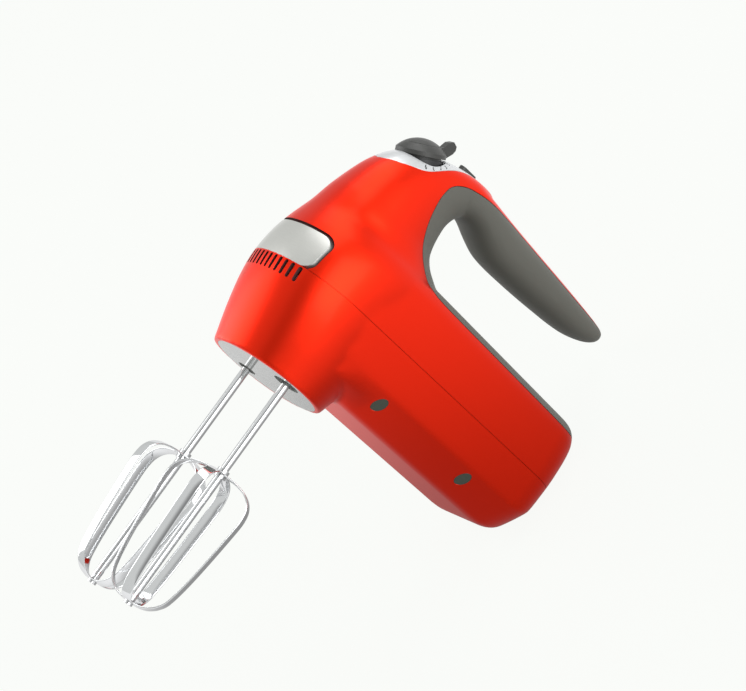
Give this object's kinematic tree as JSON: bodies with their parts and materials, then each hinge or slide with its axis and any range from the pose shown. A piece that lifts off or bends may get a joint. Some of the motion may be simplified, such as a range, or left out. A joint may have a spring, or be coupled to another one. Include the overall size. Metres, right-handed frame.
{
  "type": "hand mixer",
  "caption": "Corded electric hand mixer with a cantilever handle, tilted speed dial, eject button and counter-rotating wire beaters, standing on its heel.",
  "frame": {"origin": "on the heel face that the mixer is stored on, midway across it, 54 mm above the level of the socket plate", "axes": "+Z from the heel up to the nose, +X towards the handle side, so that the beaters point along -X, +Y to the mixer's right side"},
  "size_m": [0.305, 0.0886, 0.2178],
  "materials": {
    "red_shell": "satin metallic paint",
    "soft_grip": "matt soft touch",
    "heel_rubber": "matt",
    "socket_plate": "gloss",
    "badge_metal": "brushed",
    "silver_trim": "silver satin",
    "dark_control": "satin",
    "plug_rubber": "matt",
    "black_plastic": "matt",
    "white_plastic": "satin",
    "chrome_wire": "polished",
    "steel": "turned",
    "spring_steel": "drawn wire",
    "laminated_steel": "laminated",
    "bronze": "sintered",
    "copper_wire": "enamelled",
    "die_cast": "cast",
    "carbon": "matt",
    "circuit_board": "satin"
  },
  "bodies": {
    "housing": {"lower_housing": "red_shell", "upper_housing": "red_shell", "handle_grip": "soft_grip", "heel_pad": "heel_rubber", "socket_plate": "socket_plate", "badge_plate": "badge_metal", "control_trim": "silver_trim", "screw_plugs": "plug_rubber", "housing_screws": "steel", "cord_gland": "black_plastic", "eject_spring": "spring_steel", "turbo_spring": "spring_steel", "control_frame": "white_plastic", "speed_switch": "circuit_board", "turbo_switch": "black_plastic", "control_board": "circuit_board", "terminal_block": "black_plastic", "gearbox_frame": "die_cast", "gearbox_cover": "die_cast", "gearbox_screws": "steel", "spindle_bushings": "bronze", "motor_bearings": "bronze", "motor_front_bracket": "die_cast", "motor_rear_bracket": "die_cast", "stator_core": "laminated_steel", "field_coils": "copper_wire", "brush_holders": "bronze", "carbon_brushes": "carbon", "brush_springs": "spring_steel", "motor_screws": "steel"},
    "rotor": {"motor_shaft": "steel", "worm": "bronze", "cooling_fan": "white_plastic", "armature_core": "laminated_steel", "armature_windings": "copper_wire", "commutator": "bronze"},
    "spindle_left": {"worm_wheel_left": "white_plastic"},
    "spindle_right": {"worm_wheel_right": "white_plastic"},
    "beater_left": {"beater_shaft_left": "chrome_wire", "beater_blades_left": "chrome_wire"},
    "beater_right": {"beater_shaft_right": "chrome_wire", "beater_blades_right": "chrome_wire"},
    "eject_button": {"eject_plunger": "dark_control"},
    "dial": {"speed_dial": "dark_control"},
    "ejector": {"ejector_yoke": "white_plastic"},
    "turbo": {"turbo_button": "dark_control"}
  },
  "joints": [
    {"name": "motor_spin", "type": "hinge", "parent": "housing", "child": "rotor", "pos_m": [-0.009, 0, 0.095], "axis": [0, 0, 1], "continuous": true},
    {"name": "spindle_left_spin", "type": "hinge", "parent": "housing", "child": "spindle_left", "pos_m": [-0.009, -0.021, 0.174], "axis": [1, 0, 0], "continuous": true},
    {"name": "spindle_right_spin", "type": "hinge", "parent": "housing", "child": "spindle_right", "pos_m": [-0.009, 0.021, 0.174], "axis": [1, 0, 0], "continuous": true},
    {"name": "beater_left_eject", "type": "slide", "parent": "spindle_left", "child": "beater_left", "axis": [-1, 0, 0], "range_m": [0, 0.055]},
    {"name": "beater_right_eject", "type": "slide", "parent": "spindle_right", "child": "beater_right", "axis": [-1, 0, 0], "range_m": [0, 0.055]},
    {"name": "eject_press", "type": "slide", "parent": "housing", "child": "eject_button", "axis": [-0.8829, 0, -0.4695], "range_m": [0, 0.0055], "stiffness_N_per_m": 900, "springref_m": -0.004, "deforming": ["eject_spring"]},
    {"name": "ejector_slide", "type": "slide", "parent": "housing", "child": "ejector", "axis": [-1, 0, 0], "range_m": [0, 0.0063]},
    {"name": "dial_turn", "type": "hinge", "parent": "housing", "child": "dial", "pos_m": [0.0928, 0, 0.1776], "axis": [-0.8829, 0, -0.4695], "range_deg": [0, 108]},
    {"name": "turbo_press", "type": "slide", "parent": "housing", "child": "turbo", "axis": [-1, 0, 0], "range_m": [0, 0.0015], "stiffness_N_per_m": 1500, "springref_m": -0.001, "deforming": ["turbo_spring"]}
  ],
  "couplings": [
    {"joint": "spindle_left_spin", "follows": "motor_spin", "ratio": -0.066667},
    {"joint": "spindle_right_spin", "follows": "motor_spin", "ratio": 0.066667},
    {"joint": "ejector_slide", "follows": "eject_press", "ratio": 1.1326},
    {"joint": "beater_left_eject", "follows": "eject_press", "ratio": 1.1326},
    {"joint": "beater_right_eject", "follows": "eject_press", "ratio": 1.1326}
  ]
}
